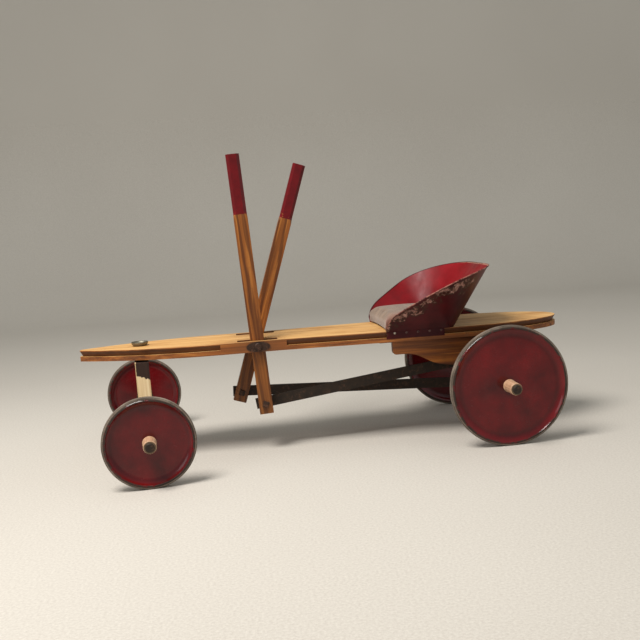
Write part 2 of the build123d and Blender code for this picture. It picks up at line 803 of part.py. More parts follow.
# ---------------------------------------------------------------- wheels
def make_wheel(name, side, level, radius, track_half, rim_width, hub_reach):
    """Disc, tyre and hub of one wheel, turned about an axle that lies along level's Y."""
    turning = Axis(level.origin, level.y_dir)
    outer = track_half
    inner = track_half - rim_width
    middle = (outer + inner) / 2
    web_out = middle + web_thickness / 2
    web_in = middle - web_thickness / 2
    rim_radius = radius - tyre_thickness
    lip_radius = rim_radius - rim_land
    web_radius = lip_radius - flange_width
    with BuildPart() as disc:
        with BuildSketch(level):
            with BuildLine():
                bore = Line((hub_radius, side * web_in), (hub_radius, side * web_out))
                face = Line(bore @ 1, (web_radius, side * web_out))
                flange = TangentArc(face @ 1, (lip_radius, side * outer), tangent=(1, 0))
                land = Line(flange @ 1, (rim_radius - rim_chamfer, side * outer))
                edge = Line(land @ 1, (rim_radius, side * (outer - rim_chamfer)))
                seat = Line(edge @ 1, (rim_radius, side * (inner + rim_chamfer)))
                back_edge = Line(seat @ 1, (rim_radius - rim_chamfer, side * inner))
                back_land = Line(back_edge @ 1, (lip_radius, side * inner))
                TangentArc((web_radius, side * web_in), back_land @ 1, tangent=(1, 0))
                Line((web_radius, side * web_in), bore @ 0)
            make_face()
        revolve(axis=turning)
    write(disc, f"{name}_disc")

    half = tyre_width_share * rim_width / 2
    tyre_in = side * (middle - half)
    tyre_out = side * (middle + half)
    with BuildPart() as tyre:
        with BuildSketch(level):
            with BuildLine():
                bed = Line((rim_radius, tyre_in), (rim_radius, tyre_out))
                wall = Line(bed @ 1, (radius - tyre_shoulder, tyre_out))
                shoulder = TangentArc(
                    wall @ 1, (radius, tyre_out - side * tyre_shoulder), tangent=(1, 0)
                )
                tread = Line(shoulder @ 1, (radius, tyre_in + side * tyre_shoulder))
                back = TangentArc(
                    tread @ 1, (radius - tyre_shoulder, tyre_in), tangent=(0, -side)
                )
                Line(back @ 1, bed @ 0)
            make_face()
        revolve(axis=turning)
    write(tyre, f"{name}_tyre")

    start = inner - hub_inner_reach
    stop = outer + hub_reach
    end_radius = hub_radius - hub_step - hub_taper
    with BuildPart() as hub:
        with BuildSketch(level):
            with BuildLine():
                Polyline(
                    (axle_radius + running, side * start),
                    (hub_radius - hub_bevel, side * start),
                    (hub_radius, side * (start + hub_bevel)),
                    (hub_radius, side * (web_out + hub_shoulder)),
                    (hub_radius - hub_step, side * (web_out + hub_shoulder + hub_bevel)),
                    (end_radius, side * (stop - hub_end_bevel)),
                    (end_radius - hub_end_bevel, side * stop),
                    (axle_radius + running, side * stop),
                    close=True,
                )
            make_face()
        revolve(axis=turning)
    write(hub, f"{name}_hub")


rear_level = Plane(origin=(rear_axle_x, 0, rear_wheel_radius))
for name, side in SIDES:
    make_wheel(f"front_wheel_{name}", side, truck_level(front_wheel_radius),
               front_wheel_radius, front_track_half, front_rim_width, front_hub_reach)
    make_wheel(f"rear_wheel_{name}", side, rear_level, rear_wheel_radius, rear_track_half,
               rear_rim_width, rear_hub_reach)


# ---------------------------------------------------------------- seat
def seat_plan(height, inset, front_x):
    """Plan of the tin seat at a height above the deck, drawn in by an inset."""
    side_grow = tin_thickness + skirt_clearance + seat_side_flare * height - inset
    back_x = seat_back_x + seat_back_flare * height - inset
    corner = seat_corner_radius + seat_corner_flare * height - inset
    with BuildSketch(Plane.XY.offset(deck_top + height)) as plan:
        with BuildLine():
            Polyline(
                (front_x, -deck_half(front_x) - side_grow),
                (back_x, -deck_half(back_x) - side_grow),
                (back_x, deck_half(back_x) + side_grow),
                (front_x, deck_half(front_x) + side_grow),
                close=True,
            )
        make_face()
        fillet(plan.vertices().group_by(Axis.X)[-1], corner)
    return plan.sketch


open_front = seat_front_x - seat_depth / 2
with BuildPart() as seat_hollow:
    hollow_front = open_front - overcut
    hollow_plans = [
        seat_plan(0.0, tin_run, hollow_front),
        seat_plan(seat_height, tin_run, hollow_front),
    ]
    loft(hollow_plans, ruled=True)

# the skirt over the deck's edges
with BuildPart() as seat_skirt_band:
    extrude(
        deck_plan(deck_top - seat_skirt, -(tin_thickness + skirt_clearance)), amount=seat_skirt
    )
    extrude(
        deck_plan(deck_top - seat_skirt, -skirt_clearance), amount=seat_skirt,
        mode=Mode.SUBTRACT,
    )
    skirt_length = seat_depth - seat_skirt_short
    with BuildSketch(Plane(origin=(seat_front_x + skirt_length / 2, 0, deck_bottom))):
        Rectangle(skirt_length, 4 * tail_half)
    extrude(amount=2 * deck_thickness, mode=Mode.INTERSECT)

# the foot turned in along the back
with BuildPart() as seat_foot_band:
    foot_x = seat_back_x - seat_corner_radius - seat_foot_past_corner
    extrude(seat_plan(0.0, tin_thickness / 2, foot_x), amount=tin_thickness)
    extrude(
        seat_plan(0.0, seat_foot, foot_x - overcut), amount=tin_thickness, mode=Mode.SUBTRACT
    )

with BuildPart() as seat_shell:
    wall_plans = [seat_plan(0.0, 0.0, open_front), seat_plan(seat_height, 0.0, open_front)]
    loft(wall_plans, ruled=True)
    add(seat_hollow.part, mode=Mode.SUBTRACT)
    # everything under the rim, which climbs from the front corners to the level back
    rim_side = Plane(origin=(seat_front_x, 0, deck_top), x_dir=(1, 0, 0), z_dir=(0, -1, 0))
    rim_run = seat_depth + seat_back_flare * seat_height + overcut
    rim_height = seat_height - rim_below_top
    with BuildSketch(rim_side):
        with BuildLine():
            front = Line((0, -seat_skirt), (0, seat_front_post))
            rim = Spline(
                front @ 1,
                *[(run * rim_run, rise * rim_height) for run, rise in rim_course],
                (rim_run, rim_height),
            )
            back = Line(rim @ 1, (rim_run, -seat_skirt))
            Line(back @ 1, front @ 0)
        make_face()
    extrude(amount=3 * tail_half, both=True, mode=Mode.INTERSECT)
    add(seat_skirt_band.part)
    add(seat_foot_band.part)
write(seat_shell, "seat_shell")

cushion_base = tin_thickness + cushion_lift
with BuildPart() as seat_cushion:
    cushion_inset = tin_run + soft_gap
    cushion_plans = [
        seat_plan(cushion_base, cushion_inset, seat_front_x - cushion_nose),
        seat_plan(cushion_height, cushion_inset, seat_front_x - cushion_nose),
    ]
    loft(cushion_plans, ruled=True)
    fillet(seat_cushion.faces().sort_by(Axis.Z)[-1].outer_wire().edges(), cushion_round)
write(seat_cushion, "seat_cushion")
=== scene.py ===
"""Looks for the child's lever-driven push cart: materials, cushion, nails, light and camera."""

import json
import math

import bmesh
import bpy
from mathutils import Matrix, Vector
from mathutils import noise as hills
from mathutils.bvhtree import BVHTree


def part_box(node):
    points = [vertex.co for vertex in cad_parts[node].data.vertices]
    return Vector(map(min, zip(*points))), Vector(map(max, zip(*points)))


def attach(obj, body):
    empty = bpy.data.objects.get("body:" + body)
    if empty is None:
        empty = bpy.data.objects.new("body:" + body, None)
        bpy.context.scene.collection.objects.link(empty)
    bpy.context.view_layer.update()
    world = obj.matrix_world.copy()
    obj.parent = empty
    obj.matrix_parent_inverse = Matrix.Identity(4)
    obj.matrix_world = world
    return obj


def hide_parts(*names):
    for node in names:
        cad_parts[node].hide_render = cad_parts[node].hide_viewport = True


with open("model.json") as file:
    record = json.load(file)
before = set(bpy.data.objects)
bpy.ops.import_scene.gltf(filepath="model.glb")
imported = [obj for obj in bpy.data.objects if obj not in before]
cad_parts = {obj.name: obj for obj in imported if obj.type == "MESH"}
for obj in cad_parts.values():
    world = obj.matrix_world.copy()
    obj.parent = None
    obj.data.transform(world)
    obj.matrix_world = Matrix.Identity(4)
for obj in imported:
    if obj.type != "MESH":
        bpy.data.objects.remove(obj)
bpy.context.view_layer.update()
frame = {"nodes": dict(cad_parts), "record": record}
NODES = frame["nodes"]
JOINTS = {joint["name"]: joint for joint in frame["record"]["behaviour"]["joints"]}
MM = 0.001

# ---------------------------------------------------------------- places read from the frame
deck_low, deck_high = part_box("deck")
deck_top = deck_high.z
seat_low, seat_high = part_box("seat_shell")
cushion_low, cushion_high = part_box("seat_cushion")
cap_low, cap_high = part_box("king_cap")
bolster_low, bolster_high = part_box("bolster")
lever_pivot = Vector(JOINTS["lever_left_swing"]["pos_m"])

# ---------------------------------------------------------------- sizes, in metres
WHEEL_RADIUS = {"front": 0.085, "rear": 0.1205}
GRIP_FROM_PIVOT = 272 * MM
GROOVE_TOP = 2.0 * MM          # the groove in the deck's edge, below the deck's top
GROOVE_FOOT = 13.0 * MM
GROOVE_BLUR = 0.4 * MM
TRUCK_TURN = math.radians(5.35)
SHADOW_EDGE_SHARE = 0.86             # where the painted shadow of the deck ends on the bolster, as a share of its height
# height of the painted shade at the bolster's foot
FOOT_SHADE_HEIGHT = 0.054
NAIL_HEAD_RADIUS = 2.6 * MM
NAIL_HEAD_RISE = 1.0 * MM
NAIL_SHANK = 6 * MM
NAIL_SHANK_SHARE = 0.38        # of the head's radius
NAIL_APART = 17 * MM           # vertices nearer than this are one nail
NAIL_SIDES = 20

PAD_START_SPREAD = 0.965       # the pad swells, so it starts smaller than its space
PAD_START_HEIGHT = 0.80
PAD_VOXEL = 5 * MM
PAD_PRESSURE = 4.0
PAD_STEPS = 20
PAD_LIMIT = 7 * MM             # the furthest that stuffing moves a point
PAD_CROWN = 5.0 * MM
PAD_RUMPLE = 2.2 * MM
PAD_FRONT_RUMPLE = 2.4 * MM
PAD_FRONT_FOLD = 2.2 * MM
SEAM_LEVEL = 0.36              # share of the pad's height
SEAM_SPREAD = 0.09
SEAM_PULL = 1.6 * MM
SEAM_CLEAR_OF_MIDDLE = 40 * MM

RIM_STEPS = 9                  # places where the rim's rise is read
RIM_READ_SHARE = 0.35          # of the distance between two such places
RIM_CENTRE_SHARE = 0.38        # of the seat's length, where the rim's bearings are taken
RIM_BEARING_STEP = 2.0         # degrees
RIM_BEARINGS = 67              # to each side of straight back
RIM_HALVINGS = 18
RIM_WALL_HALF = 0.7 * MM
RIM_START_RISE = 6 * MM
RIM_ROLL_RADIUS = 1.25 * MM

# ---------------------------------------------------------------- light and camera
KEY_LIGHT = {"place": (-1.0, -0.95, 2.35), "aim": (0.05, 0.05, 0.1), "size": 1.15,
             "power": 74.0, "colour": (1.0, 0.975, 0.94)}
FILL_LIGHT = {"place": (-2.6, -2.6, 1.3), "aim": (0.0, 0.0, 0.2), "size": 1.6,
              "power": 10.0, "colour": (0.97, 0.98, 1.0)}
SKY_COLOUR = (0.93, 0.96, 0.94, 1.0)
SKY_STRENGTH = 0.55
VIEW_GAMMA = 0.93
CAMERA_PLACE = (-0.20698, -1.93958, 0.46107)
CAMERA_YAW = 0.1599            # radians
CAMERA_PITCH = -0.1419
CAMERA_ROLL = -0.061
CAMERA_SHIFT = (-0.0877, 0.0476)
SENSOR_WIDTH = 36.0
FOCAL_SHARE = 913.27 / 640.0   # focal length over the width of the sensor
FLOOR_HALF_WIDTH = 6.0
FLOOR_NEAR = -4.0
FLOOR_BEND_START = 3.0
FLOOR_BEND_RADIUS = 1.2
FLOOR_BEND_STEPS = 12
BACKDROP_HEIGHT = 5.0

UP = (0, 0, 1)
ALONG = (1, 0, 0)
ACROSS = (0, 1, 0)


# ---------------------------------------------------------------- material tools
class Paint:
    """One node material, built up a node at a time."""

    def __init__(self, name, roughness=0.5, metallic=0.0, specular=0.5):
        self.material = bpy.data.materials.new(name)
        self.material.use_nodes = True
        self.tree = self.material.node_tree
        self.tree.nodes.clear()
        self.shader = self.tree.nodes.new("ShaderNodeBsdfPrincipled")
        output = self.tree.nodes.new("ShaderNodeOutputMaterial")
        self.tree.links.new(self.shader.outputs["BSDF"], output.inputs["Surface"])
        self.shader.inputs["Roughness"].default_value = roughness
        self.shader.inputs["Metallic"].default_value = metallic
        self.shader.inputs["Specular IOR Level"].default_value = specular
        self.place = self.tree.nodes.new("ShaderNodeTexCoord").outputs["Object"]
        self.normal = self.tree.nodes.new("ShaderNodeTexCoord").outputs["Normal"]

    def feed(self, socket, value):
        """Links a socket, or sets it when the value is plain."""
        if isinstance(value, bpy.types.NodeSocket):
            self.tree.links.new(value, socket)
        else:
            socket.default_value = value

    def node(self, kind, inputs=(), **settings):
        """Adds a node, with its settings and its inputs by name or number."""
        made = self.tree.nodes.new(kind)
        for key, value in settings.items():
            setattr(made, key, value)
        for key, value in dict(inputs).items():
            self.feed(made.inputs[key], value)
        return made

    def math(self, operation, a, b=0.0, clamp=False):
        made = self.node("ShaderNodeMath", {0: a, 1: b}, operation=operation)
        made.use_clamp = clamp
        return made.outputs[0]

    def plus(self, a, b):
        return self.math("ADD", a, b)

    def minus(self, a, b):
        return self.math("SUBTRACT", a, b)

    def times(self, a, b):
        return self.math("MULTIPLY", a, b)

    def flip(self, value):
        """One less the value."""
        return self.math("SUBTRACT", 1.0, value)

    def vector(self, operation, a, b=(0, 0, 0)):
        made = self.node("ShaderNodeVectorMath", {0: a, 1: b}, operation=operation)
        return made.outputs["Value"] if operation == "DOT_PRODUCT" else made.outputs["Vector"]

    def axis(self, vector, direction):
        """How far a vector runs along a direction."""
        return self.vector("DOT_PRODUCT", vector, tuple(direction))

    def length(self, vector):
        return self.node("ShaderNodeVectorMath", {0: vector}, operation="LENGTH").outputs["Value"]

    def noise(self, vector, scale, detail=4.0, rough=0.55):
        made = self.node(
            "ShaderNodeTexNoise",
            {"Vector": vector, "Scale": scale, "Detail": detail, "Roughness": rough},
        )
        return made.outputs["Fac"]

    def stretch(self, vector, scale, offset=(0, 0, 0), turn=(0, 0, 0)):
        made = self.node(
            "ShaderNodeMapping",
            {"Vector": vector, "Location": offset, "Rotation": turn, "Scale": scale},
        )
        return made.outputs["Vector"]

    def ramp(self, factor, *stops):
        """Colour ramp from (place, colour) stops; a number stands for a grey."""
        made = self.node("ShaderNodeValToRGB", {"Fac": factor})
        band = made.color_ramp
        while len(band.elements) < len(stops):
            band.elements.new(0.5)
        for element, (place, colour) in zip(band.elements, stops):
            element.position = place
            shade = colour if isinstance(colour, tuple) else (colour, colour, colour)
            element.color = (*shade, 1.0)
        return made.outputs["Color"]

    def step(self, value, start, stop):
        """0 below start, 1 above stop, smooth between."""
        made = self.node(
            "ShaderNodeMapRange",
            {"Value": value, "From Min": start, "From Max": stop},
            interpolation_type="SMOOTHSTEP",
        )
        return made.outputs["Result"]

    def drop(self, value, start, stop):
        """1 below start, 0 above stop, smooth between."""
        return self.flip(self.step(value, start, stop))

    def mix(self, factor, a, b):
        made = self.node("ShaderNodeMix", data_type="RGBA", blend_type="MIX")
        colour_a = (*a, 1.0) if isinstance(a, tuple) else a
        colour_b = (*b, 1.0) if isinstance(b, tuple) else b
        self.feed(made.inputs["Factor"], factor)
        self.feed(made.inputs[6], colour_a)
        self.feed(made.inputs[7], colour_b)
        return made.outputs[2]

    def tint(self, colour, mask, share, shade):
        """Lays a shade over a colour, by at most the share, where the mask is 1."""
        return self.mix(self.times(mask, share), colour, shade)

    def bump(self, height, distance, strength=1.0, below=None):
        inputs = {"Height": height, "Distance": distance, "Strength": strength}
        if below is not None:
            inputs["Normal"] = below
        return self.node("ShaderNodeBump", inputs).outputs["Normal"]

    def coat(self, weight, roughness):
        """Clear varnish over the paint."""
        self.shader.inputs["Coat Weight"].default_value = weight
        self.shader.inputs["Coat Roughness"].default_value = roughness

    def finish(self, colour, roughness=None, normal=None, metallic=None):
        self.feed(self.shader.inputs["Base Color"], colour)
        if roughness is not None:
            self.feed(self.shader.inputs["Roughness"], roughness)
        if normal is not None:
            self.feed(self.shader.inputs["Normal"], normal)
        if metallic is not None:
            self.feed(self.shader.inputs["Metallic"], metallic)
        return self.material


def rgb(red, green, blue):
    """Linear colour from the 0-255 values that it shows as."""
    def linear(value):
        share = value / 255
        return share / 12.92 if share <= 0.04045 else ((share + 0.055) / 1.055) ** 2.4
    return (linear(red), linear(green), linear(blue))


def grey(level):
    return (level, level, level)


def dress(material, *names):
    """Gives CAD nodes a material."""
    for name in names:
        slots = NODES[name].data.materials
        if len(slots):
            for index in range(len(slots)):
                NODES[name].material_slots[index].link = "OBJECT"
                NODES[name].material_slots[index].material = material
        else:
            slots.append(material)


def squeezed(lengthwise, share):
    """Scale that draws a texture out along a direction."""
    return tuple(share + (1.0 - share) * (1.0 - abs(value)) for value in lengthwise)


def grain_field(paint, along, seed, rings=1.0, place=None):
    """Wood figure: broad rings, fine fibre and streaks, drawn out along the grain."""
    place = paint.place if place is None else place
    lengthwise = Vector(along).normalized()
    stretched = paint.stretch(
        place, squeezed(lengthwise, 0.07), offset=(seed * 0.37, seed * 0.71, seed * 0.13)
    )
    figure = paint.node(
        "ShaderNodeTexWave",
        {"Vector": stretched, "Scale": 26.0 * rings, "Distortion": 7.5, "Detail": 3.0,
         "Detail Scale": 1.1, "Detail Roughness": 0.6},
        wave_type="BANDS",
        bands_direction="DIAGONAL",
    ).outputs["Fac"]
    fibre_place = paint.stretch(place, squeezed(lengthwise, 0.02))
    fibre = paint.noise(fibre_place, 900.0, 3.0, 0.65)
    streak = paint.noise(fibre_place, 160.0, 4.0, 0.6)
    return figure, fibre, streak


def from_axle(paint, centre, axle):
    """Distance from a wheel's axle."""
    arm = paint.vector("SUBTRACT", paint.place, tuple(centre))
    along = paint.axis(arm, axle)
    squared = paint.minus(paint.vector("DOT_PRODUCT", arm, arm), paint.times(along, along))
    return paint.math("SQRT", paint.math("MAXIMUM", squared, 0.0))


# ---------------------------------------------------------------- wood
def deck_colours(paint, figure, streak, blotch):
    """Straw-coloured worn top and brown varnished edges; the edges' brown is partly painted shade
    on faces turned from the light.
    """
    top = paint.ramp(streak, (0.25, rgb(176, 126, 66)), (0.5, rgb(214, 168, 104)),
                     (0.78, rgb(236, 200, 144)))
    top = paint.tint(top, paint.step(figure, 0.55, 0.95), 0.38, rgb(166, 104, 48))
    top = paint.tint(top, paint.step(blotch, 0.5, 0.72), 0.55, rgb(152, 96, 44))
    edge = paint.ramp(streak, (0.22, rgb(84, 42, 12)), (0.5, rgb(140, 80, 28)),
                      (0.8, rgb(186, 120, 52)))
    edge = paint.tint(edge, paint.step(figure, 0.5, 0.95), 0.4, rgb(84, 44, 16))
    return top, edge


def deck_shadows(paint, colour, facing_up):
    """Painted shade in the groove's upper flank, and painted shade that dulls the underside."""
    height = paint.axis(paint.place, UP)
    above_foot = paint.step(height, deck_top - GROOVE_FOOT - GROOVE_BLUR,
                            deck_top - GROOVE_FOOT + GROOVE_BLUR)
    below_lip = paint.drop(height, deck_top - GROOVE_TOP - GROOVE_BLUR,
                           deck_top - GROOVE_TOP + GROOVE_BLUR)
    facing_down = paint.times(facing_up, -1.0)
    flank = paint.times(paint.times(above_foot, below_lip), paint.step(facing_down, 0.2, 0.4))
    # painted shade on the groove's flank that faces down
    colour = paint.tint(colour, flank, 0.82, rgb(74, 38, 14))
    # painted shade on the underside
    return paint.tint(colour, paint.step(facing_down, 0.75, 0.9), 0.45, rgb(96, 62, 34))


def deck_dirt(paint, colour, blotch):
    """Dirty halos about the slots and the king bolt, scratches and pits."""
    halos = (
        (lever_pivot, 0.075),
        (lever_pivot * Vector((1, -1, 1)), 0.075),
        (cap_low.lerp(cap_high, 0.5), 0.034),
    )
    for centre, reach in halos:
        gap = paint.length(paint.vector("SUBTRACT", paint.place, tuple(centre)))
        rough_gap = paint.plus(gap, paint.times(blotch, 0.03))
        halo = paint.drop(rough_gap, reach * 0.55, reach * 1.25)
        colour = paint.tint(colour, halo, 0.35, rgb(104, 66, 34))
    scratch_place = paint.stretch(paint.place, (9.0, 160.0, 30.0), turn=(0, 0, 0.08))
    scratch = paint.noise(scratch_place, 2.4, 2.0, 0.5)
    colour = paint.tint(colour, paint.step(scratch, 0.70, 0.74), 0.5, rgb(120, 78, 44))
    pit = paint.noise(paint.place, 210.0, 2.0, 0.5)
    return paint.tint(colour, paint.step(pit, 0.72, 0.77), 0.7, rgb(58, 32, 14))


def deck_wood():
    """Straw-coloured worn top, brown varnished edges darkened partly by painted shade, and
    painted shade in the groove.
    """
    paint = Paint("deck_wood")
    figure, fibre, streak = grain_field(paint, ALONG, 1.0, 0.8)
    blotch = paint.noise(paint.stretch(paint.place, (2.2, 7.0, 1.0)), 3.2, 5.0, 0.6)
    top, edge = deck_colours(paint, figure, streak, blotch)
    facing_up = paint.axis(paint.normal, UP)
    # edges darker than the top by the way they face: partly varnish, partly painted shade
    colour = paint.mix(paint.step(facing_up, 0.45, 0.8), edge, top)
    colour = deck_shadows(paint, colour, facing_up)
    colour = deck_dirt(paint, colour, blotch)
    bump = paint.bump(fibre, 0.00035, 0.5)
    bump = paint.bump(figure, 0.0005, 0.35, bump)
    return paint.finish(colour, paint.ramp(blotch, (0.3, 0.42), (0.7, 0.62)), bump)


def frame_wood(name, dark, middle, light, seed):
    """Brown varnished wood of the cheeks and cleats; the dark browns passed in are partly painted
    shade from under the deck.
    """
    paint = Paint(name)
    figure, fibre, streak = grain_field(paint, ALONG, seed, 1.2)
    colour = paint.ramp(streak, (0.22, dark), (0.5, middle), (0.8, light))
    colour = paint.tint(colour, paint.step(figure, 0.5, 0.9), 0.45, dark)
    patch = paint.noise(paint.place, 14.0, 5.0, 0.6)
    colour = paint.tint(colour, paint.step(patch, 0.5, 0.72), 0.4, dark)
    bump = paint.bump(fibre, 0.0004, 0.5)
    bump = paint.bump(figure, 0.0006, 0.4, bump)
    return paint.finish(colour, paint.ramp(patch, (0.3, 0.4), (0.7, 0.6)), bump)


def bolster_wood():
    """Bolster: pale raw wood, darkened above by painted shadow of the deck, with painted shade at
    its foot.
    """
    paint = Paint("bolster_wood", roughness=0.72)
    figure, fibre, streak = grain_field(paint, UP, 5.0, 1.6)
    raw = paint.ramp(streak, (0.25, rgb(172, 138, 92)), (0.55, rgb(218, 190, 146)),
                     (0.82, rgb(240, 220, 184)))
    # painted shadow of the deck: near-black wood for the bolster's upper part
    dark = paint.ramp(streak, (0.25, rgb(24, 12, 6)), (0.7, rgb(54, 30, 16)))
    height = paint.axis(paint.place, UP)
    middle = (bolster_low.x + bolster_high.x) / 2
    lead = paint.minus(paint.axis(paint.place, ALONG), middle)
    sideways = paint.times(paint.axis(paint.place, ACROSS), -math.tan(TRUCK_TURN))
    lead = paint.minus(lead, sideways)
    waver = paint.noise(paint.stretch(paint.place, (1.0, 1.0, 0.35)), 70.0, 4.0, 0.6)
    waver = paint.times(waver, 0.026)
    ragged = paint.plus(paint.plus(height, waver), paint.times(lead, 0.45))
    shadow_edge = bolster_low.z + (bolster_high.z - bolster_low.z) * SHADOW_EDGE_SHARE
    # below the ragged shadow edge, and on the front face, the raw wood shows out of the painted
    # shadow
    below = paint.drop(ragged, shadow_edge, shadow_edge + 2.5 * MM)
    strip = paint.drop(paint.plus(lead, paint.times(waver, 0.3)), -8.5 * MM, -7 * MM)
    bare = paint.math("MAXIMUM", below, strip)
    foot_shade_line = bolster_low.z + FOOT_SHADE_HEIGHT
    # raw wood out of the painted shadow, painted shadow of the deck above
    colour = paint.mix(bare, dark, raw)
    # painted shade at the foot, near the axle
    colour = paint.tint(colour, paint.drop(ragged, foot_shade_line, foot_shade_line + 10 * MM), 0.8,
                        rgb(52, 34, 20))
    bump = paint.bump(fibre, 0.0006, 0.7)
    bump = paint.bump(bare, 0.0012, 0.8, bump)
    return paint.finish(colour, normal=bump)


def lever_axes(side_name):
    """A lever's pivot, the direction from its foot to its top, and how far it leans."""
    pivot = Vector(JOINTS[f"lever_{side_name}_swing"]["pos_m"])
    bolt_low, bolt_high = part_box(f"lever_bolt_{side_name}")
    foot = (bolt_low + bolt_high) / 2
    up = Vector((pivot.x - foot.x, 0, pivot.z - foot.z)).normalized()
    return pivot, up, math.atan2(up.x, up.z)


def grip_paint(paint, upright, rise):
    """Where the grip's paint still covers the wood: ragged at its start and chipped."""
    waver = paint.times(paint.noise(upright, 160.0, 3.0), 0.004)
    painted = paint.step(paint.plus(rise, waver), GRIP_FROM_PIVOT - 3 * MM,
                         GRIP_FROM_PIVOT - 1.5 * MM)
    chip_field = paint.noise(paint.place, 120.0, 5.0, 0.62)
    near_start = paint.drop(rise, GRIP_FROM_PIVOT, GRIP_FROM_PIVOT + 20 * MM)
    chip_line = paint.minus(0.72, paint.times(near_start, 0.1))
    chipped = paint.step(paint.minus(chip_field, chip_line), 0.0, 0.015)
    return paint.times(painted, paint.flip(chipped))


def lever_wood(side_name, seed):
    """Amber lever with a crimson painted grip, worn where hands rub it, with painted shade on its
    lower end under the deck.
    """
    paint = Paint(f"lever_wood_{side_name}", specular=0.3)
    paint.coat(0.2, 0.16)
    pivot, up, lean = lever_axes(side_name)
    from_pivot = paint.vector("SUBTRACT", paint.place, tuple(pivot))
    upright = paint.stretch(from_pivot, (1, 1, 1), turn=(0, -lean, 0))
    figure, fibre, streak = grain_field(paint, UP, seed, 1.5, upright)
    wood = paint.ramp(streak, (0.2, rgb(82, 44, 14)), (0.5, rgb(142, 84, 32)),
                      (0.8, rgb(190, 128, 60)))
    wood = paint.tint(wood, paint.step(figure, 0.4, 0.85), 0.7, rgb(80, 38, 10))
    rise = paint.axis(from_pivot, up)
    patch = paint.noise(upright, 30.0, 5.0, 0.6)
    # painted shade: darker below the pivot, under the deck
    wood = paint.tint(wood, paint.drop(rise, -0.13, -0.02), 0.35, rgb(84, 50, 24))
    wood = paint.tint(wood, paint.step(patch, 0.52, 0.75), 0.35, rgb(90, 52, 22))
    red = paint.ramp(patch, (0.3, rgb(82, 2, 8)), (0.7, rgb(112, 6, 14)))
    painted = grip_paint(paint, upright, rise)
    colour = paint.mix(painted, wood, red)
    gloss = paint.mix(painted, paint.ramp(patch, (0.3, 0.36), (0.7, 0.56)), grey(0.17))
    bump = paint.bump(fibre, 0.0004, paint.ramp(painted, (0.0, 0.5), (1.0, 0.12)))
    bump = paint.bump(painted, 0.0004, 0.6, bump)
    return paint.finish(colour, gloss, bump)


def hub_wood(name, outward):
    """Pale turned hub, a little darker on its end face."""
    paint = Paint(f"hub_wood_{name}", roughness=0.6)
    figure, fibre, streak = grain_field(paint, ACROSS, 3.0, 2.0)
    colour = paint.ramp(streak, (0.2, rgb(140, 102, 78)), (0.5, rgb(194, 156, 124)),
                        (0.8, rgb(224, 196, 166)))
    patch = paint.noise(paint.place, 120.0, 4.0, 0.6)
    colour = paint.tint(colour, paint.step(patch, 0.5, 0.75), 0.5, rgb(140, 84, 50))
    end = paint.step(paint.axis(paint.normal, (0, outward, 0)), 0.75, 0.9)
    colour = paint.tint(colour, end, 0.35, rgb(108, 80, 58))
    return paint.finish(colour, normal=paint.bump(fibre, 0.0003, 0.5))


# ---------------------------------------------------------------- paint, rubber and iron
def wheel_colour(paint, cloud, fine, flat, flange, radius):
    """Cloudy dark red, lighter up the flange as painted light, with painted shade in the corner
    below it, dirty at the hub.
    """
    colour = paint.ramp(cloud, (0.28, rgb(62, 2, 6)), (0.5, rgb(90, 4, 10)),
                        (0.75, rgb(112, 8, 15)))
    colour = paint.tint(colour, paint.step(fine, 0.55, 0.8), 0.25, rgb(52, 2, 5))
    # painted light: lighter red up the flange
    colour = paint.tint(colour, flange, 0.2, rgb(124, 8, 16))
    # painted shade in the corner below the flange
    corner_shade = paint.times(paint.step(flat, radius * 0.76, radius * 0.83),
                         paint.drop(flat, radius * 0.83, radius * 0.9))
    colour = paint.tint(colour, corner_shade, 0.35, rgb(40, 2, 4))
    near_hub = paint.drop(paint.plus(flat, paint.times(cloud, 0.012)), 0.016, 0.034)
    return paint.tint(colour, near_hub, 0.35, rgb(60, 22, 18))


def wheel_paint(name, centre, radius, axle):
    """Dark red gloss paint, cloudy on the web, rubbed and chipped at the rim's lip."""
    paint = Paint(f"wheel_paint_{name}", specular=0.24)
    paint.coat(0.45, 0.11)
    flat = from_axle(paint, centre, axle)
    cloud = paint.noise(paint.place, 13.0, 5.0, 0.6)
    fine = paint.noise(paint.place, 95.0, 4.0, 0.65)
    flange = paint.step(flat, radius * 0.80, radius * 0.93)
    colour = wheel_colour(paint, cloud, fine, flat, flange, radius)
    lip = paint.step(flat, radius - 8.0 * MM, radius - 7.0 * MM)
    chip = paint.noise(paint.place, 85.0, 6.0, 0.7)
    bare = paint.times(lip, paint.step(chip, 0.4, 0.5))
    speck = paint.step(paint.noise(paint.place, 160.0, 4.0, 0.6), 0.735, 0.76)
    bare = paint.math("MAXIMUM", bare, paint.times(speck, 0.5))
    colour = paint.mix(bare, colour, rgb(48, 34, 26))
    dust = paint.step(paint.noise(paint.place, 34.0, 6.0, 0.7), 0.5, 0.8)
    colour = paint.tint(colour, dust, 0.05, rgb(140, 90, 80))
    mottle = paint.plus(paint.times(cloud, 0.5), paint.times(fine, 0.5))
    gloss = paint.ramp(mottle, (0.3, 0.17), (0.75, 0.34))
    gloss = paint.mix(flange, gloss, grey(0.14))
    gloss = paint.mix(bare, gloss, grey(0.65))
    bump = paint.bump(paint.noise(paint.place, 55.0, 3.0, 0.5), 0.0006, 0.3)
    bump = paint.bump(bare, -0.0004, 0.6, bump)
    return paint.finish(colour, gloss, bump)


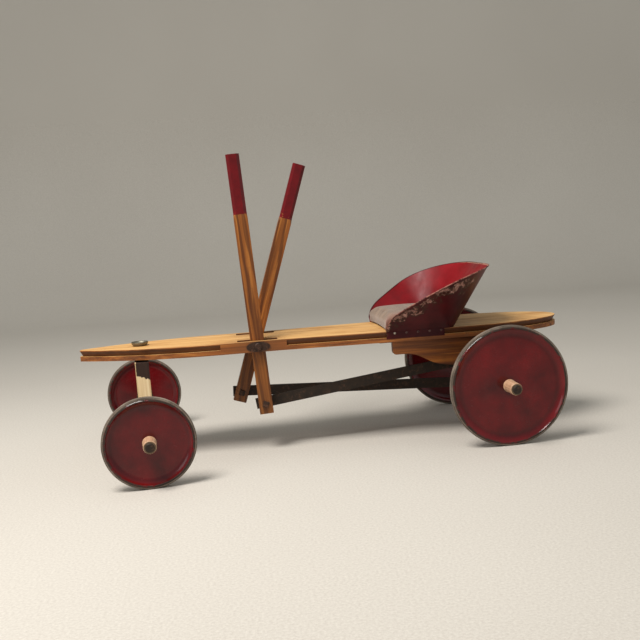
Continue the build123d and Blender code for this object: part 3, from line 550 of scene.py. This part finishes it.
def tyre_rubber(name, centre, radius, axle):
    """Old grey-brown rubber, dusty, with fine cracks, and dark lines of painted shade at its bed
    and its shoulder.
    """
    paint = Paint(f"tyre_rubber_{name}", roughness=0.8, specular=0.3)
    patch = paint.noise(paint.place, 26.0, 6.0, 0.65)
    colour = paint.ramp(patch, (0.28, rgb(80, 70, 60)), (0.5, rgb(120, 107, 95)),
                        (0.75, rgb(158, 144, 130)))
    flat = from_axle(paint, centre, axle)
    # painted shade where the tyre meets the rim, and at its shoulder
    bed_shade_line = paint.drop(flat, radius - 3.6 * MM, radius - 2.9 * MM)
    shoulder_shade_line = paint.times(paint.step(flat, radius - 1.5 * MM, radius - 1.0 * MM),
                            paint.drop(flat, radius - 0.45 * MM, radius - 0.1 * MM))
    colour = paint.tint(colour, paint.math("MAXIMUM", bed_shade_line, shoulder_shade_line), 0.6,
                        rgb(34, 28, 24))
    crack = paint.node(
        "ShaderNodeTexVoronoi", {"Vector": paint.place, "Scale": 240.0},
        feature="DISTANCE_TO_EDGE",
    ).outputs["Distance"]
    line = paint.drop(crack, 0.0, 0.05)
    colour = paint.tint(colour, line, 0.4, rgb(48, 40, 34))
    bump = paint.bump(paint.noise(paint.place, 420.0, 4.0, 0.7), 0.0003, 0.5)
    bump = paint.bump(line, -0.0003, 0.5, bump)
    return paint.finish(colour, normal=bump)


def iron(name, dark, light, rust, rough, metallic):
    """Old iron: mottled, with rust in patches."""
    paint = Paint(name)
    mottle = paint.noise(paint.place, 60.0, 6.0, 0.65)
    colour = paint.ramp(mottle, (0.3, dark), (0.7, light))
    rusting = paint.noise(paint.place, 130.0, 5.0, 0.7)
    where = paint.step(rusting, 0.52, 0.66)
    colour = paint.tint(colour, where, 0.65, rust)
    metal = paint.minus(metallic, paint.times(where, metallic * 0.8))
    gloss = paint.ramp(mottle, (0.3, rough - 0.12), (0.7, rough + 0.14))
    bump = paint.bump(rusting, 0.0005, 0.5)
    bump = paint.bump(paint.noise(paint.place, 700.0, 2.0, 0.5), 0.00015, 0.4, bump)
    return paint.finish(colour, gloss, bump, metal)


def rim_rise():
    """The seat rim's height along the seat, as shares of its box, read from the tin's mesh."""
    tin = NODES["seat_shell"].data
    length = seat_high.x - seat_low.x
    spacing = length / (RIM_STEPS - 1)
    heights = []
    for index in range(RIM_STEPS):
        spot = seat_low.x + spacing * index
        near = [v.co.z for v in tin.vertices if abs(v.co.x - spot) < spacing * RIM_READ_SHARE]
        top = max(near) if near else deck_top
        heights.append((index / (RIM_STEPS - 1), (top - deck_top) / (seat_high.z - deck_top)))
    return heights


def under_rim(paint):
    """Share of the way back along the seat, and the distance down from its rim."""
    back = paint.minus(paint.axis(paint.place, ALONG), seat_low.x)
    share = paint.math("DIVIDE", back, seat_high.x - seat_low.x, clamp=True)
    curve = paint.node("ShaderNodeFloatCurve", {"Value": share})
    points = curve.mapping.curves[0].points
    rise_points = rim_rise()
    points[0].location = rise_points[0]
    points[1].location = rise_points[-1]
    for spot in rise_points[1:-1]:
        points.new(*spot)
    curve.mapping.update()
    rim = paint.times(curve.outputs["Value"], seat_high.z - deck_top)
    rise = paint.minus(paint.axis(paint.place, UP), deck_top)
    return share, paint.minus(rim, rise)


def tin_reds(paint, streaks, within):
    """Crimson inside the seat and dark red outside; the outside is darker partly as painted shade
    on faces turned down from the light.
    """
    cloud = paint.noise(paint.place, 11.0, 5.0, 0.6)
    inside = paint.ramp(cloud, (0.28, rgb(92, 2, 9)), (0.55, rgb(126, 6, 17)),
                        (0.8, rgb(150, 20, 32)))
    outside = paint.ramp(cloud, (0.28, rgb(48, 2, 5)), (0.55, rgb(76, 4, 9)),
                         (0.8, rgb(96, 12, 16)))
    outside = paint.tint(outside, paint.step(streaks, 0.5, 0.8), 0.4, rgb(40, 8, 5))
    inside = paint.tint(inside, paint.step(streaks, 0.52, 0.8), 0.3, rgb(88, 2, 10))
    # inside and outside chosen by facing: the outside's darkness is partly painted shade
    return paint.mix(within, outside, inside)


def worn_place(paint, share, under, within):
    """A band below the rim, on the left side's outer face and forward of the back."""
    near_side = paint.drop(paint.axis(paint.place, ACROSS), -0.08, -0.02)
    band = paint.times(paint.step(under, 0.004, 0.010), paint.drop(under, 0.018, 0.044))
    ahead = paint.drop(share, 0.62, 0.86)
    zone = paint.times(paint.times(band, near_side), ahead)
    return paint.times(zone, paint.flip(within))


def seat_paint():
    """Seat tin: bright crimson within, dark red outside partly as painted shade, worn to bare tin
    near the rim.
    """
    paint = Paint("seat_paint", specular=0.26)
    streaks = paint.noise(paint.stretch(paint.place, (1.0, 1.0, 0.25)), 38.0, 4.0, 0.6)
    within = paint.step(paint.axis(paint.normal, UP), 0.1, 0.4)
    colour = tin_reds(paint, streaks, within)
    share, under = under_rim(paint)
    zone = worn_place(paint, share, under, within)
    in_zone = paint.step(zone, 0.02, 0.2)
    chips = paint.noise(paint.place, 62.0, 7.0, 0.72)
    broad = paint.noise(paint.place, 20.0, 3.0, 0.6)
    level = paint.plus(paint.times(zone, 0.17), paint.times(broad, 0.08))
    level = paint.plus(chips, level)
    worn = paint.times(paint.step(level, 0.69, 0.75), in_zone)
    dark_edge = paint.times(paint.minus(paint.step(level, 0.61, 0.68), worn), in_zone)
    dark_share = paint.math("MULTIPLY", dark_edge, 0.7, clamp=True)
    colour = paint.mix(dark_share, colour, rgb(54, 40, 20))
    metal = paint.ramp(paint.noise(paint.place, 170.0, 4.0, 0.6), (0.3, rgb(96, 68, 52)),
                       (0.52, rgb(168, 124, 112)), (0.75, rgb(212, 172, 160)))
    colour = paint.mix(worn, colour, metal)
    lip_bare = paint.times(paint.drop(under, 0.0004, 0.0016), paint.step(chips, 0.36, 0.5))
    colour = paint.mix(lip_bare, colour, rgb(176, 138, 118))
    speck = paint.step(paint.noise(paint.place, 150.0, 4.0, 0.6), 0.71, 0.75)
    colour = paint.tint(colour, speck, 0.6, rgb(70, 34, 28))
    gloss = paint.ramp(streaks, (0.3, 0.34), (0.75, 0.54))
    gloss = paint.mix(worn, gloss, grey(0.5))
    bump = paint.bump(paint.noise(paint.place, 8.0, 2.0, 0.4), 0.012, 0.30)
    bump = paint.bump(worn, -0.0005, 0.6, bump)
    bump = paint.bump(streaks, 0.0008, 0.2, bump)
    return paint.finish(colour, gloss, bump, paint.times(worn, 0.55))


def weave_threads(paint):
    """Warp and weft of a plain weave, each thread a little uneven."""
    threads = []
    for direction in ((1, 0, 0.25), (0, 1, 0.25)):
        lane = paint.axis(paint.place, direction)
        wobble = paint.times(paint.noise(paint.place, 60.0, 3.0), 0.0012)
        wave = paint.math("SINE", paint.times(paint.plus(lane, wobble), 3300.0))
        threads.append(paint.plus(paint.times(wave, 0.5), 0.5))
    return paint.math("MAXIMUM", threads[0], threads[1])


def cushion_cloth():
    """Coarse taupe cloth with a plain weave."""
    paint = Paint("cushion_cloth", roughness=0.92, specular=0.2)
    paint.shader.inputs["Sheen Weight"].default_value = 0.35
    paint.shader.inputs["Sheen Roughness"].default_value = 0.6
    weave = weave_threads(paint)
    tone = paint.noise(paint.place, 26.0, 6.0, 0.65)
    slub = paint.noise(paint.stretch(paint.place, (1.0, 9.0, 1.0)), 120.0, 3.0, 0.6)
    colour = paint.ramp(tone, (0.28, rgb(94, 72, 56)), (0.5, rgb(132, 106, 84)),
                        (0.78, rgb(164, 136, 110)))
    between = paint.mix(0.35, colour, rgb(74, 56, 44))
    colour = paint.mix(paint.times(weave, 0.3), between, colour)
    colour = paint.tint(colour, paint.step(slub, 0.55, 0.75), 0.25, rgb(190, 168, 142))
    stain = paint.noise(paint.place, 9.0, 3.0, 0.6)
    colour = paint.tint(colour, paint.step(stain, 0.5, 0.7), 0.3, rgb(96, 72, 58))
    # painted shade: darker towards the bottom, where the front roll turns under
    lower = paint.drop(paint.axis(paint.place, UP), cushion_low.z + 3 * MM,
                       cushion_low.z + 20 * MM)
    colour = paint.tint(colour, lower, 0.6, rgb(84, 54, 38))
    leftward = paint.times(paint.axis(paint.place, ACROSS), -1.0)
    colour = paint.tint(colour, paint.step(leftward, 0.05, 0.11), 0.3, rgb(158, 96, 84))
    bump = paint.bump(weave, 0.0004, 0.45)
    bump = paint.bump(slub, 0.0005, 0.4, bump)
    return paint.finish(colour, normal=bump)


def nail_steel():
    """Nail heads: worn bright at the front of the seat and lightened there as a painted
    highlight, painted over behind.
    """
    paint = Paint("nail_steel", roughness=0.36, specular=0.4)
    mottle = paint.noise(paint.place, 400.0, 4.0, 0.6)
    bare = paint.ramp(mottle, (0.3, rgb(128, 108, 94)), (0.7, rgb(214, 204, 190)))
    painted = paint.ramp(mottle, (0.3, rgb(44, 6, 8)), (0.7, rgb(116, 84, 76)))
    # front nails bright bare steel: partly wear, partly a painted highlight
    ahead = paint.drop(paint.axis(paint.place, ALONG), seat_low.x + 24 * MM,
                       seat_low.x + 40 * MM)
    colour = paint.mix(ahead, painted, bare)
    return paint.finish(colour, None, paint.bump(mottle, 0.0002, 0.4), paint.times(ahead, 0.8))


def rim_roll_paint():
    """Dark red, rubbed to a dull copper on the left side."""
    paint = Paint("rim_roll", specular=0.35)
    rub = paint.noise(paint.place, 55.0, 6.0, 0.7)
    near = paint.drop(paint.axis(paint.place, ACROSS), -0.04, 0.06)
    colour = paint.ramp(rub, (0.3, rgb(44, 6, 8)), (0.7, rgb(84, 16, 18)))
    worn = paint.times(near, paint.step(rub, 0.4, 0.56))
    colour = paint.tint(colour, worn, 0.8, rgb(168, 112, 96))
    return paint.finish(colour, normal=paint.bump(rub, 0.0003, 0.5))


def floor_paint():
    paint = Paint("floor", roughness=0.9)
    speckle = paint.noise(paint.place, 240.0, 4.0, 0.7)
    cloud = paint.noise(paint.place, 1.2, 2.0, 0.5)
    tone = paint.plus(paint.times(speckle, 0.85), paint.times(cloud, 0.15))
    colour = paint.ramp(tone, (0.35, rgb(188, 181, 172)), (0.65, rgb(206, 200, 191)))
    return paint.finish(colour, normal=paint.bump(speckle, 0.0008, 0.4))


# ---------------------------------------------------------------- mesh tools
def add_object(name, data):
    made = bpy.data.objects.new(name, data)
    bpy.context.scene.collection.objects.link(made)
    return made


def smooth_faces(mesh):
    for polygon in mesh.polygons:
        polygon.use_smooth = True


def new_mesh(name, bm):
    mesh = bpy.data.meshes.new(name)
    bm.to_mesh(mesh)
    bm.free()
    smooth_faces(mesh)
    return add_object(name, mesh)


def turned_rows(bm, profile, centre, axis, turns):
    """Rings of points round an axis; a radius of zero gives one point."""
    side = axis.orthogonal().normalized()
    other = axis.cross(side)
    rows = []
    for radius, height in profile:
        if radius == 0.0:
            rows.append([bm.verts.new(centre + axis * height)])
            continue
        row = []
        for index in range(turns):
            angle = 2 * math.pi * index / turns
            spoke = side * math.cos(angle) + other * math.sin(angle)
            row.append(bm.verts.new(centre + spoke * radius + axis * height))
        rows.append(row)
    return rows


def spin_profile(bm, profile, centre, axis, turns):
    """Adds a turned form from (radius, height) points about an axis."""
    rows = turned_rows(bm, profile, centre, axis, turns)
    for low, high in zip(rows, rows[1:]):
        for index in range(turns):
            after = (index + 1) % turns
            if len(low) == 1:
                bm.faces.new((low[0], high[index], high[after]))
            elif len(high) == 1:
                bm.faces.new((low[index], low[after], high[0]))
            else:
                bm.faces.new((low[index], low[after], high[after], high[index]))


# ---------------------------------------------------------------- cushion
def start_pad():
    """An even mesh of the cushion's space, a little smaller because the pad swells."""
    pad = add_object("seat_pad", NODES["seat_cushion"].data.copy())
    pad.data.materials.clear()
    middle = (cushion_low + cushion_high) / 2
    for vertex in pad.data.vertices:
        spot = vertex.co
        spot.x = middle.x + (spot.x - middle.x) * PAD_START_SPREAD
        spot.y = middle.y + (spot.y - middle.y) * PAD_START_SPREAD
        spot.z = cushion_low.z + (spot.z - cushion_low.z) * PAD_START_HEIGHT
    bpy.context.view_layer.objects.active = pad
    remesh = pad.modifiers.new("even", "REMESH")
    remesh.mode = "VOXEL"
    remesh.voxel_size = PAD_VOXEL
    bpy.ops.object.select_all(action="DESELECT")
    pad.select_set(True)
    bpy.ops.object.modifier_apply(modifier="even")
    return pad


def stuffed_points(pad):
    """Where the pad's points come to when it is blown up as cloth."""
    cloth = pad.modifiers.new("stuffing", "CLOTH")
    cloth.settings.use_pressure = True
    cloth.settings.uniform_pressure_force = PAD_PRESSURE
    cloth.settings.quality = 5
    cloth.settings.mass = 0.3
    cloth.settings.tension_stiffness = 12.0
    cloth.settings.compression_stiffness = 6.0
    cloth.settings.bending_stiffness = 1.2
    cloth.settings.effector_weights.gravity = 0.0
    cloth.collision_settings.use_collision = False
    scene = bpy.context.scene
    for step in range(1, PAD_STEPS + 1):
        scene.frame_set(step)
    swollen = pad.evaluated_get(bpy.context.evaluated_depsgraph_get()).data
    moved = [vertex.co.copy() for vertex in swollen.vertices]
    pad.modifiers.remove(cloth)
    scene.frame_set(1)
    return moved


def cushion_pad():
    """The cushion: stuffed by a cloth simulation, then crowned and drawn in at its seam."""
    pad = start_pad()
    start = [vertex.co.copy() for vertex in pad.data.vertices]
    moved = stuffed_points(pad)
    for vertex, was, now in zip(pad.data.vertices, start, moved):
        shift = now - was
        if shift.length > PAD_LIMIT:
            shift = shift.normalized() * PAD_LIMIT
        vertex.co = was + shift
    shape_pad(pad)
    soft = pad.modifiers.new("soft", "SUBSURF")
    soft.levels = 1
    soft.render_levels = 1
    smooth_faces(pad.data)
    return pad


def shape_pad(pad):
    """Flat under, crowned above, rumpled towards the front corners and held inside its space."""
    size = cushion_high - cushion_low
    centre = (cushion_low + cushion_high) / 2
    for vertex in pad.data.vertices:
        spot = vertex.co
        along = (spot.x - cushion_low.x) / size.x
        across = (spot.y - cushion_low.y) / size.y
        up = (spot.z - cushion_low.z) / size.z
        crown = (1 - (2 * across - 1) ** 2) * (1 - (1.6 * along - 0.8) ** 2)
        spot.z += PAD_CROWN * crown * max(up, 0)
        front = max(0.0, 1 - along * 3.2)
        rumple = hills.noise(Vector((spot.x * 14, spot.y * 22, spot.z * 30)))
        fold = math.sin(spot.y * 120 + 2.5 * math.sin(spot.y * 31)) * hills.noise(
            Vector((spot.y * 9, 3.1, 0.4)))
        spot.z += PAD_RUMPLE * rumple * max(up, 0)
        spot.x += (PAD_FRONT_RUMPLE * rumple + PAD_FRONT_FOLD * fold) * front * max(up, 0.1)
        seam = math.exp(-((up - SEAM_LEVEL) / SEAM_SPREAD) ** 2)
        inward = Vector((centre.x - spot.x, -spot.y, 0))
        if inward.length > SEAM_CLEAR_OF_MIDDLE:
            spot += inward.normalized() * SEAM_PULL * seam
        spot.x = min(max(spot.x, cushion_low.x + 0.3 * MM), cushion_high.x)
        spot.z = max(spot.z, cushion_low.z + 0.2 * MM)
    pad.data.update()


def lay_cushion():
    pad = cushion_pad()
    pad.data.materials.append(cushion_cloth())
    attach(pad, "frame")
    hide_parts("seat_cushion")


# ---------------------------------------------------------------- the seat's rolled edge
def rim_spot(walls, middle_x, out):
    """The highest place where a level line out from the middle still meets the tin."""
    low = deck_top + RIM_START_RISE
    high = seat_high.z
    hit = walls.ray_cast(Vector((middle_x, 0, low)), out)[0]
    if hit is None:
        return None
    for _ in range(RIM_HALVINGS):
        trial = (low + high) / 2
        spot = walls.ray_cast(Vector((middle_x, 0, trial)), out)[0]
        if spot is None:
            high = trial
        else:
            low = trial
            hit = spot
    return hit + out * RIM_WALL_HALF


def rim_line():
    """Points along the tin's rim, from one front corner round the back to the other."""
    tin = NODES["seat_shell"].data
    walls = BVHTree.FromPolygons(
        [vertex.co.copy() for vertex in tin.vertices],
        [tuple(polygon.vertices) for polygon in tin.polygons],
    )
    middle_x = seat_low.x + RIM_CENTRE_SHARE * (seat_high.x - seat_low.x)
    found = []
    for index in range(-RIM_BEARINGS, RIM_BEARINGS + 1):
        bearing = math.radians(RIM_BEARING_STEP * index)
        out = Vector((math.cos(bearing), math.sin(bearing), 0))
        spot = rim_spot(walls, middle_x, out)
        if spot is not None:
            found.append(spot)
    return found


def roll_rim():
    """Wire-stiffened edge: a thin roll of tin along the rim."""
    line = rim_line()
    curve = bpy.data.curves.new("seat_rim_roll", "CURVE")
    curve.dimensions = "3D"
    spline = curve.splines.new("POLY")
    spline.points.add(len(line) - 1)
    for point, spot in zip(spline.points, line):
        point.co = (*spot, 1.0)
    curve.bevel_depth = RIM_ROLL_RADIUS
    curve.bevel_resolution = 3
    curve.use_fill_caps = True
    holder = add_object("seat_rim_curve", curve)
    bpy.context.view_layer.update()
    mesh = bpy.data.meshes.new_from_object(holder)
    bpy.data.objects.remove(holder)
    smooth_faces(mesh)
    roll = add_object("seat_rim_roll", mesh)
    mesh.materials.clear()
    mesh.materials.append(rim_roll_paint())
    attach(roll, "frame")


# ---------------------------------------------------------------- nails
def nail_groups():
    """The vertices of the CAD's nails, a list for each nail."""
    groups = []
    for vertex in NODES["seat_nails"].data.vertices:
        for group in groups:
            if (group[0] - vertex.co).length < NAIL_APART:
                group.append(vertex.co.copy())
                break
        else:
            groups.append([vertex.co.copy()])
    return groups


def drive_nails():
    """Domed nail heads with short shanks, where the CAD has its nails."""
    radius = NAIL_HEAD_RADIUS
    rise = NAIL_HEAD_RISE
    profile = [
        (0.0, -NAIL_SHANK), (radius * NAIL_SHANK_SHARE, -NAIL_SHANK),
        (radius * NAIL_SHANK_SHARE, 0.0), (radius, 0.0), (radius * 0.97, rise * 0.3),
        (radius * 0.8, rise * 0.68), (radius * 0.45, rise * 0.93), (0.0, rise),
    ]
    bm = bmesh.new()
    for group in nail_groups():
        low = Vector(tuple(min(point[axis] for point in group) for axis in range(3)))
        high = Vector(tuple(max(point[axis] for point in group) for axis in range(3)))
        middle = (low + high) / 2
        outward = 1 if middle.y > 0 else -1
        edge = high.y if outward > 0 else low.y
        base = Vector((middle.x, edge - outward * rise, middle.z))
        spin_profile(bm, profile, base, Vector((0, outward, 0)), NAIL_SIDES)
    bmesh.ops.recalc_face_normals(bm, faces=bm.faces)
    heads = new_mesh("seat_nail_heads", bm)
    heads.data.materials.append(nail_steel())
    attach(heads, "frame")
    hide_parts("seat_nails")


# ---------------------------------------------------------------- dressing the frame
def dress_wood():
    dress(deck_wood(), "deck")
    # cheek and cleat browns kept dark, partly as painted shade under the deck
    cheek_wood = frame_wood("cheek_wood", rgb(58, 26, 6), rgb(116, 62, 16), rgb(160, 98, 34), 2.0)
    dress(cheek_wood, "cheek_left", "cheek_right", "cleat_left", "cleat_right")
    dress(bolster_wood(), "bolster")
    dress(lever_wood("left", 7.0), "lever_left")
    dress(lever_wood("right", 11.0), "lever_right")


def dress_wheels():
    for end, radius in WHEEL_RADIUS.items():
        for side_name, outward in (("left", -1), ("right", 1)):
            wheel = f"{end}_wheel_{side_name}"
            joint = JOINTS[f"{wheel}_spin"]
            centre = Vector(joint["pos_m"])
            axle = Vector(joint["axis"]).normalized()
            dress(wheel_paint(wheel, centre, radius, axle), f"{wheel}_disc")
            dress(tyre_rubber(wheel, centre, radius, axle), f"{wheel}_tyre")
            dress(hub_wood(wheel, outward), f"{wheel}_hub")


def dress_iron():
    black = iron("dark_iron", rgb(34, 26, 20), rgb(62, 48, 36), rgb(84, 54, 34), 0.62, 0.35)
    dress(black, "rod_left", "rod_right", "crank_axle", "front_axle")
    rusty = iron("rusty_iron", rgb(40, 26, 20), rgb(84, 60, 46), rgb(104, 62, 38), 0.6, 0.45)
    dress(rusty, "pivot_plate_left", "pivot_plate_right", "pivot_rod", "pivot_nut",
          "lever_bolt_left", "lever_bolt_right", "rod_nut_left", "rod_nut_right",
          "axle_strap_left", "axle_strap_right", "crank_collar", "pivot_plate_screws")
    steel = iron("grey_steel", rgb(92, 88, 76), rgb(158, 154, 138), rgb(110, 84, 58), 0.42, 0.75)
    dress(steel, "king_cap", "king_bolt", "king_washer", "king_nut", "upper_rub_plate",
          "lower_rub_plate")
    dull = iron("washer_steel", rgb(84, 70, 56), rgb(138, 116, 92), rgb(98, 68, 46), 0.55, 0.5)
    dress(dull, "front_axle_washers", "rear_axle_washers", "front_axle_collars",
          "rear_axle_collars", "axle_bush_left", "axle_bush_right", "strap_screws",
          "cleat_screws", "seat_foot_tacks", "seat_nails")


# ---------------------------------------------------------------- floor, light and camera
def build_floor():
    """Pale floor that curves up into a backdrop far behind."""
    profile = [(FLOOR_NEAR, 0.0), (FLOOR_BEND_START, 0.0)]
    for index in range(1, FLOOR_BEND_STEPS + 1):
        angle = math.pi / 2 * index / FLOOR_BEND_STEPS
        profile.append((FLOOR_BEND_START + FLOOR_BEND_RADIUS * math.sin(angle),
                        FLOOR_BEND_RADIUS * (1 - math.cos(angle))))
    profile.append((FLOOR_BEND_START + FLOOR_BEND_RADIUS, BACKDROP_HEIGHT))
    bm = bmesh.new()
    rows = []
    for y, z in profile:
        rows.append([bm.verts.new((x, y, z)) for x in (-FLOOR_HALF_WIDTH, FLOOR_HALF_WIDTH)])
    for low, high in zip(rows, rows[1:]):
        bm.faces.new((low[0], low[1], high[1], high[0]))
    floor = new_mesh("floor", bm)
    floor.data.materials.append(floor_paint())


def area_light(name, place, aim, size, power, colour):
    data = bpy.data.lights.new(name, "AREA")
    data.shape = "DISK"
    data.size = size
    data.energy = power
    data.color = colour
    light = add_object(name, data)
    light.location = place
    light.rotation_euler = (Vector(aim) - Vector(place)).to_track_quat("-Z", "Y").to_euler()


def build_light():
    world = bpy.data.worlds.new("studio")
    world.use_nodes = True
    background = world.node_tree.nodes["Background"]
    background.inputs["Color"].default_value = SKY_COLOUR
    background.inputs["Strength"].default_value = SKY_STRENGTH
    bpy.context.scene.world = world
    area_light("key", **KEY_LIGHT)
    area_light("fill", **FILL_LIGHT)
    bpy.context.scene.view_settings.view_transform = "Standard"
    bpy.context.scene.view_settings.gamma = VIEW_GAMMA


def build_camera():
    """The camera's place and aim, with a small shift for the photograph's framing."""
    forward = Vector((math.sin(CAMERA_YAW) * math.cos(CAMERA_PITCH),
                      math.cos(CAMERA_YAW) * math.cos(CAMERA_PITCH), math.sin(CAMERA_PITCH)))
    level = forward.cross(Vector(UP)).normalized()
    upright = level.cross(forward)
    right = level * math.cos(CAMERA_ROLL) + upright * math.sin(CAMERA_ROLL)
    up = upright * math.cos(CAMERA_ROLL) - level * math.sin(CAMERA_ROLL)
    data = bpy.data.cameras.new("view")
    data.sensor_width = SENSOR_WIDTH
    data.lens = FOCAL_SHARE * SENSOR_WIDTH
    data.shift_x, data.shift_y = CAMERA_SHIFT
    camera = add_object("view", data)
    turn = Matrix((right, up, -forward)).transposed()
    camera.matrix_world = Matrix.Translation(CAMERA_PLACE) @ turn.to_4x4()
    bpy.context.scene.camera = camera


dress_wood()
dress_wheels()
dress_iron()
dress(seat_paint(), "seat_shell")
lay_cushion()
roll_rim()
drive_nails()
build_floor()
build_light()
build_camera()
